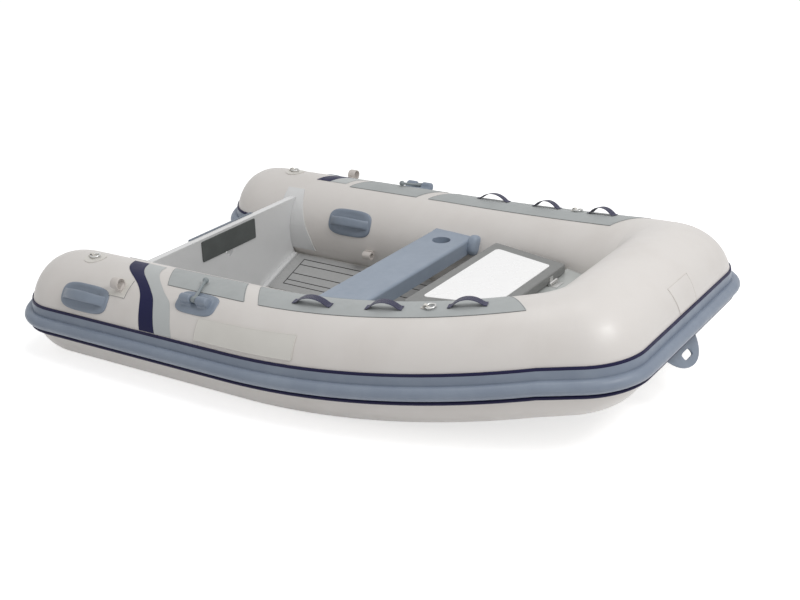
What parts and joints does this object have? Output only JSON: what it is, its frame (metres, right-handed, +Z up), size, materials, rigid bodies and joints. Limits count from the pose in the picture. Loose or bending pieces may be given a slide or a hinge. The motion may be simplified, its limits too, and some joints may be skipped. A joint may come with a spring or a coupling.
{
  "type": "rigid inflatable boat",
  "caption": "Small tender afloat: plate V hull between two air tubes joined across a blunt bow, with thwart, hinged bow locker, transom, rowlocks, grips and rubbing strake.",
  "frame": {"origin": "on the waterline and the centreline, amidships under the thwart", "axes": "+X to the bow, +Y to port, +Z up"},
  "size_m": [2.5001, 1.746, 0.654],
  "materials": {
    "tube": "warm off-white coated fabric, satin",
    "strake": "blue-grey moulded rubber, satin",
    "navy_band": "navy coated fabric strip",
    "grey_band": "light grey coated fabric strip",
    "hull_paint": "white powder-coated plate",
    "well_paint": "glossy white paint on plate",
    "foam": "brushed grey closed-cell foam with black grooves",
    "inner_pad": "dark grey ribbed rubber",
    "outer_pad": "light grey plastic board",
    "lid_frame": "light grey moulded plastic",
    "lid_panel": "white fine-grained panel",
    "hinge": "white moulded hinge",
    "seat": "blue-grey moulded plastic, fine grain",
    "handle": "blue-grey moulded rubber",
    "ring_patch": "welded fabric patch",
    "ring_metal": "polished stainless steel",
    "loop_patch": "welded fabric patch",
    "loop": "cream moulded rubber",
    "pin_metal": "dull aluminium",
    "wear_patch": "grey ribbed non-slip fabric",
    "webbing": "navy woven webbing",
    "plate": "plain raised plate",
    "bow_patch": "plain welded patch"
  },
  "bodies": {
    "boat": {"tube_port": "tube", "tube_starboard": "tube", "tube_bow": "tube", "strake_port": "strake", "strake_starboard": "strake", "strake_bow": "strake", "strake_trim_port": "navy_band", "strake_trim_starboard": "navy_band", "strake_trim_bow": "navy_band", "hull": "hull_paint", "keel_and_spray_rails": "hull_paint", "sole": "hull_paint", "sole_pad_port": "foam", "sole_pad_starboard": "foam", "sole_pad_centre": "foam", "floor_sills": "well_paint", "transom": "well_paint", "transom_flanges": "well_paint", "engine_pad_inner": "inner_pad", "engine_pad_outer": "outer_pad", "locker_box": "well_paint", "bow_deck": "well_paint", "lid_hinge_feet": "hinge", "seat": "seat", "seat_end_brackets": "strake", "grip_outer_port": "handle", "grip_outer_starboard": "handle", "grip_inner_port": "handle", "grip_inner_starboard": "handle", "ring_patches": "ring_patch", "lifting_rings": "ring_metal", "paddle_patches": "loop_patch", "paddle_loops": "loop", "paddle_clips": "loop", "rowlock_port": "handle", "rowlock_starboard": "handle", "wear_patches": "wear_patch", "grab_straps": "webbing", "stripes_navy": "navy_band", "stripes_grey": "grey_band", "name_plates": "plate", "bow_patch": "bow_patch", "tow_handle": "handle"},
    "lid": {"locker_lid": "lid_frame", "locker_lid_panel": "lid_panel", "lid_hinge_leaves": "hinge"},
    "pin_port": {"rowlock_pin_port": "pin_metal"},
    "pin_starboard": {"rowlock_pin_starboard": "pin_metal"}
  },
  "joints": [
    {"name": "lid_hinge", "type": "hinge", "parent": "boat", "child": "lid", "pos_m": [0.596, 0, 0.303], "axis": [0, 1, 0], "range_deg": [0, 95]},
    {"name": "rowlock_port_fold", "type": "hinge", "parent": "boat", "child": "pin_port", "pos_m": [-0.375, 0.76198, 0.36217], "axis": [-0.9999, 0, -0.0157], "range_deg": [0, 125]},
    {"name": "rowlock_starboard_fold", "type": "hinge", "parent": "boat", "child": "pin_starboard", "pos_m": [-0.375, -0.76198, 0.36217], "axis": [0.9999, 0, 0.0157], "range_deg": [0, 125]}
  ]
}
